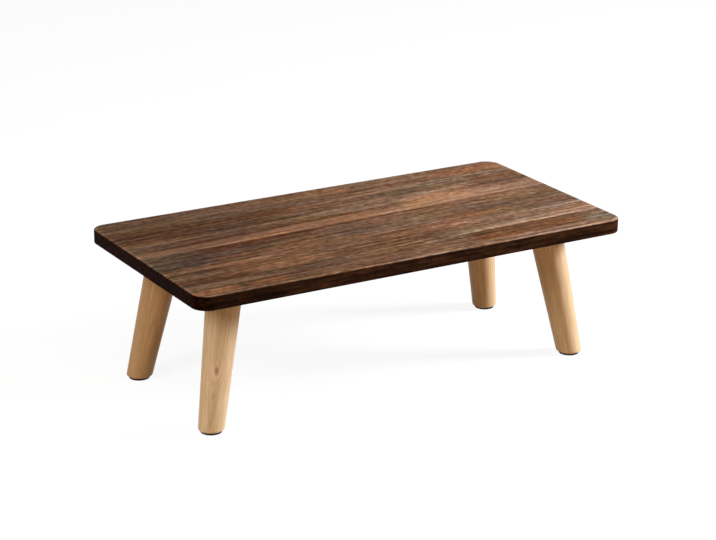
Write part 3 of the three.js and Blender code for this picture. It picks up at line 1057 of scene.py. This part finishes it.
# The plate is one closed profile carried round: out along the lower side, round the rim, in along the
# upper side, up and over the collar, and down its bore
def makePlate(corner, material):
    rounding, bore, rim = plate["collarRounding"], plate["boreRadius"], plate["rim"]
    lowSeat, highSeat = -plateSeat, plate["thickness"] - plateSeat
    join = plate["seatJoins"][0]
    mouth = np.vstack([
        line((bore, lowSeat + rim), (bore + rim, lowSeat), 1),
        line((bore + 2 * rim, lowSeat), (join, lowSeat), 1),
    ])
    collar = np.vstack([
        line((join, highSeat), (plate["collarRadius"] + rounding, highSeat), 1),
        arc((plate["collarRadius"] + rounding, highSeat + rounding), rounding, -90, -180, 5)[1:],
        arc((plate["collarRadius"] - rounding, -collarTop - rounding), rounding, 0, 90, 5),
        line((bore + 2 * rim, -collarTop), (bore, -collarTop - 2 * rim), 1),
    ])
    inner, outer = (lean(turned(profile, plate["columns"])) for profile in (mouth, collar))
    upper = pressedRows(plate["thickness"])[::-1]
    rows = np.concatenate([inner, pressedRows(0), rimRows(), upper, outer])
    piece = skin(f"pressedPlate_{corner}", toTable(rows, corner), ring=True)
    finish(piece, material, f"leg_plate_{corner}")


# A screw thread's height on its rod, one at the crest and zero at the root: a sawtooth both ways that
# climbs one pitch in each turn, cut off flat at its crest
def threadHeight(angle, height, pitch, sharpness):
    share = np.mod(height / pitch - angle / (2 * math.pi), 1)
    return np.clip((1 - np.abs(2 * share - 1)) * sharpness, 0, 1)


# Rod with the wood thread below the top of the leg and the machine thread above it
def makeBolt(corner, material):
    steps = round((boltPoint - boltTip) / bolt["machinePitch"] * bolt["rowsPerPitch"])
    height = np.linspace(-boltPoint, -boltTip, steps + 1)[:, None]
    angle = circle(bolt["columns"])[None, :]
    places = [-boltPoint, bolt["pointLength"] - boltPoint, -boltTip - bolt["tipChamfer"], -boltTip]
    sizes = [bolt["pointRadius"], bolt["radius"], bolt["radius"], bolt["radius"] - bolt["tipChamfer"]]
    envelope = np.interp(height, places, sizes)
    wood = 1 - smooth(-legTop - bolt["plainLength"], -legTop, height)
    machine = smooth(-legTop, bolt["plainLength"] - legTop, height)
    woodCut = 1 - threadHeight(angle, height, bolt["woodPitch"], 1.15) ** 1.6
    machineCut = 1 - threadHeight(angle, height, bolt["machinePitch"], 1.2)
    depth = wood * woodCut * bolt["woodDepth"] + machine * machineCut * bolt["machineDepth"]
    radius = envelope - depth * envelope / bolt["radius"]
    piece = skin(f"hangerBolt_{corner}", toTable(lean(around(angle, radius, height)), corner))
    finish(piece, material, f"hanger_bolt_{corner}")


# Pan-head wood screw pointing up: an elliptic dome with a cross recess, a flat seat, and a threaded shank
# to a point. The cross is turned by the given angle
def screwRows(turn):
    head, rim = screw["headRadius"], screw["rimHeight"]
    rounding = screw["rimRounding"]
    angle = circle(screw["columns"])[None, :]
    out = np.linspace(0.04, 1, 22)[:, None] ** 0.8 * head
    dome = -rim - (screw["headHeight"] - rim) * np.sqrt(np.maximum(1 - (out / head) ** 2, 0))
    x, y = np.abs(out * np.cos(angle + turn)), np.abs(out * np.sin(angle + turn))
    acrossArm = 1 - smooth(0.7 * screw["recessHalfWidth"], 1.3 * screw["recessHalfWidth"], np.minimum(x, y))
    alongArm = 1 - smooth(0.55 * screw["recessSpan"], screw["recessSpan"], np.maximum(x, y))
    dome = dome + screw["recessDepth"] * acrossArm * alongArm
    seat = np.vstack([arc((head - rounding, -rounding), rounding, 0, 90, 3), (0.8 * head, 0)])

    steps = round(screw["length"] / screw["pitch"] * screw["rowsPerPitch"])
    height = np.linspace(0.02, 1, steps)[:, None] * screw["length"]
    places = [0, screw["length"] - screw["pointLength"], screw["length"]]
    envelope = np.interp(height, places, [screw["radius"], screw["radius"], screw["pointRadius"]])
    cut = (1 - threadHeight(angle, height, screw["pitch"], 1.1) ** 1.5) * smooth(0, screw["pitch"], height)
    radius = envelope - screw["threadDepth"] * cut * envelope / screw["radius"]
    shank = around(angle, radius, height)
    return np.concatenate([around(angle, out, dome), turned(seat, screw["columns"]), shank])


# Four screws a plate, each with its cross turned another way
def makeScrews(corner, material):
    reach = plate["side"] / 2 - plate["screwInset"]
    for index, (along, across) in enumerate([(-1, -1), (1, -1), (1, 1), (-1, 1)], start=1):
        turn = 2.4 * index + 0.9 * cornerSides[corner][0] + 0.5 * cornerSides[corner][1]
        rows = screwRows(turn) + (along * reach, across * reach, stance["seatGap"] - screwSeat)
        piece = skin(f"panHeadScrew_{corner}_{index}", toTable(rows, corner))
        finish(piece, material, f"plate_screw_{corner}_{index}")


stainedWood, paleWood = makeStainedWood(), makePaleWood()
zincSteel, darkRubber = makeZincSteel(), makeDarkRubber()
print("materials made")
makeBoard(stainedWood)
print("board made")
for corner in cornerSides:
    makeLeg(corner, paleWood)
    makePad(corner, darkRubber)
    makePlate(corner, zincSteel)
    makeBolt(corner, zincSteel)
    makeScrews(corner, zincSteel)
    print("leg, pad, plate and fastenings made:", corner)

# Camera where the photograph was taken from: it looks at a point on the table's upright middle line
view = {
    "azimuth": math.radians(-31.056),
    "elevation": math.radians(19.346),
    "distance": 2.7855,
    "aim": (-0.0008, 0.0, 0.1276),
    "roll": math.radians(0.571),
    "focalPixels": 2216.7,
    "imageWidth": 716,
    "sensor": 36.0,
}


def makeCamera():
    lens = bpy.data.cameras.new("photoCamera")
    lens.sensor_width = view["sensor"]
    lens.lens = view["focalPixels"] / view["imageWidth"] * view["sensor"]
    camera = placeObject("photoCamera", lens)
    turn, rise = view["azimuth"], view["elevation"]
    back = Vector((math.sin(turn) * math.cos(rise), -math.cos(turn) * math.cos(rise), math.sin(rise)))
    camera.location = Vector(view["aim"]) + back * view["distance"]
    camera.rotation_mode = "QUATERNION"
    camera.rotation_quaternion = (-back).to_track_quat("-Z", "Y") @ Quaternion((0, 0, 1), view["roll"])
    bpy.context.scene.camera = camera


# Soft studio light: a weak warm world all round, a large lamp high overhead, a smaller and cooler one at
# the right, which lights the legs from the side, and a weak one at the left. The camera, reflections and
# clear pieces see the world and the floor as white, with a faint shadow
studio = {
    "worldStrength": 0.15,
    "worldColour": (1, 0.86, 0.68, 1),
    "lampAim": (0.0, 0.0, 0.12),
    # place, size, power and colour of each lamp
    "lamps": {
        "overheadLamp": ((-0.7, -1.0, 2.3), 2.2, 15.8, (1, 1, 1)),
        "rightLamp": ((2.5, -1.1, 1.25), 0.7, 112.0, (1, 1.045, 1.19)),
        "leftLamp": ((-1.75, -0.5, 1.3), 0.8, 19.0, (1, 1, 1)),
    },
    "floorSize": 14.0,
    "floorColour": (0.48, 0.29, 0.155, 1),
    "seenFloorGlow": 0.9,
    "seenFloorColour": (0.16, 0.16, 0.16, 1),
}


def seenRays(tree):
    path = addNode(tree, "ShaderNodeLightPath", {}).outputs
    seen = maths(tree, "MAXIMUM", path["Is Camera Ray"], path["Is Glossy Ray"])
    return maths(tree, "MAXIMUM", seen, path["Is Transmission Ray"])


def makeWorld():
    world = bpy.data.worlds.new("studio")
    bpy.context.scene.world = world
    tree = emptyTree(world)
    weak = studio["worldStrength"]
    strength = maths(tree, "MULTIPLY_ADD", seenRays(tree), 1 - weak, weak)
    hue = mixed(tree, seenRays(tree), studio["worldColour"], (1, 1, 1, 1))
    glow = addNode(tree, "ShaderNodeBackground", {"Color": hue, "Strength": strength})
    addNode(tree, "ShaderNodeOutputWorld", {"Surface": glow.outputs[0]})


def makeLamps():
    for name, (spot, size, power, hue) in studio["lamps"].items():
        lamp = bpy.data.lights.new(name, "AREA")
        lamp.shape = "SQUARE"
        lamp.size = size
        lamp.energy = power
        lamp.color = hue
        holder = placeObject(name, lamp)
        holder.location = spot
        toward = Vector(studio["lampAim"]) - holder.location
        holder.rotation_euler = toward.to_track_quat("-Z", "Y").to_euler()


# The floor is warm brown to the light that it throws back at the table, and clear from below
def makeFloor():
    half = studio["floorSize"] / 2
    mesh = bpy.data.meshes.new("floor")
    corners = [(-half, -half, 0), (half, -half, 0), (half, half, 0), (-half, half, 0)]
    mesh.from_pydata(corners, [], [(0, 1, 2, 3)])
    floor = placeObject("floor", mesh)
    material = bpy.data.materials.new("paleFloor")
    tree = emptyTree(material)
    lit = addNode(tree, "ShaderNodeBsdfDiffuse", {"Color": studio["floorColour"]})
    seenLit = addNode(tree, "ShaderNodeBsdfDiffuse", {"Color": studio["seenFloorColour"]})
    seenGlow = addNode(tree, "ShaderNodeEmission", {"Strength": studio["seenFloorGlow"]})
    seen = addNode(tree, "ShaderNodeAddShader", {0: seenLit.outputs[0], 1: seenGlow.outputs[0]})
    front = addNode(tree, "ShaderNodeMixShader", {0: seenRays(tree), 1: lit.outputs[0], 2: seen.outputs[0]})
    below = addNode(tree, "ShaderNodeNewGeometry", {}).outputs["Backfacing"]
    clear = addNode(tree, "ShaderNodeBsdfTransparent", {})
    both = addNode(tree, "ShaderNodeMixShader", {0: below, 1: front.outputs[0], 2: clear.outputs[0]})
    addNode(tree, "ShaderNodeOutputMaterial", {"Surface": both.outputs[0]})
    mesh.materials.append(material)


makeCamera()
makeWorld()
makeLamps()
makeFloor()
bpy.context.scene.view_settings.view_transform = "Standard"
print("camera, lamps and floor made")
